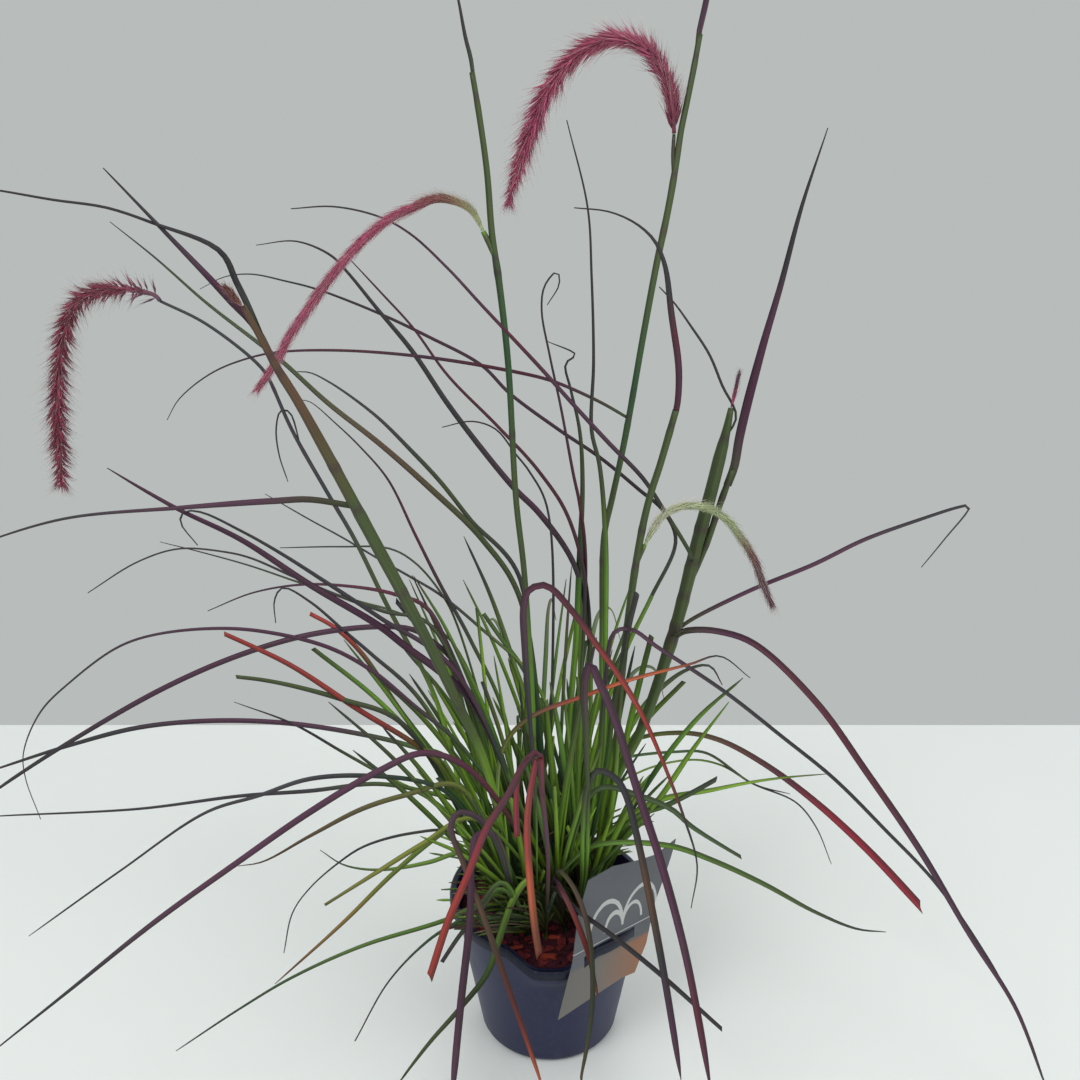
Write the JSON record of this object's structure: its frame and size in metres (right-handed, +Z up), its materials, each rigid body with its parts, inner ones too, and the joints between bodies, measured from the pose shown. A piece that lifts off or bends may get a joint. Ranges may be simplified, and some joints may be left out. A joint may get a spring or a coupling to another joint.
{
  "type": "potted purple fountain grass",
  "caption": "Clump of arching narrow purple and green grass blades with bristly hanging pink flower plumes, in a round tapered nursery pot with a plant tag.",
  "frame": {"origin": "centre of the pot's flat underside", "axes": "+Z up, -Y towards the front, where the pot's lip dips, +X to the right as seen from the front"},
  "size_m": [1.0521, 0.621, 0.9527],
  "materials": {
    "pot_plastic": "satin",
    "soil_bark": "matte",
    "tag_plastic": "satin",
    "blade_purple": "satin",
    "blade_green": "satin",
    "plume_pink": "matte",
    "plume_pale": "matte"
  },
  "bodies": {
    "root": {"pot": "pot_plastic", "soil": "soil_bark", "tag": "tag_plastic", "leafy_stem_folded": "blade_purple", "leafy_stem_hanging_green": "blade_green", "leafy_stem_hanging_left": "blade_purple", "leafy_stem_hanging_right": "blade_purple", "leafy_stem_sweeping": "blade_purple", "leafy_stem_sweeping_right": "blade_purple", "leafy_stem_low_a": "blade_purple", "leafy_stem_low_b": "blade_purple", "leafy_stem_low_c": "blade_purple", "leafy_stem_low_d": "blade_purple", "flower_stem_left": "blade_green", "leafy_stem_thick": "blade_purple", "leafy_stem_red": "blade_purple", "leafy_stem_long_right": "blade_purple", "flower_stem_pale": "blade_green", "flower_stem_right": "blade_green", "leafy_stem_arching": "blade_purple", "flower_stem_centre": "blade_green", "leafy_stem_curling": "blade_purple", "leafy_stem_upright": "blade_purple", "flower_stem_top": "blade_green", "leafy_stem_level": "blade_purple", "leafy_stem_middle": "blade_purple", "flower_stem_far_left": "blade_green", "leafy_stem_olive": "blade_purple", "leafy_stem_crossing": "blade_purple", "leafy_stem_long_left": "blade_purple", "leafy_stem_slanting": "blade_purple", "leafy_stem_low_right": "blade_purple", "leafy_stem_thin_left": "blade_purple", "leafy_stem_cut": "blade_purple", "leafy_stem_back_left": "blade_purple", "leafy_stem_back_right": "blade_purple", "plume_far_left": "plume_pink", "plume_centre": "plume_pink", "plume_top": "plume_pink", "plume_pale": "plume_pale", "plume_emerging_left": "plume_pink", "plume_emerging_right": "plume_pink"}
  },
  "joints": []
}
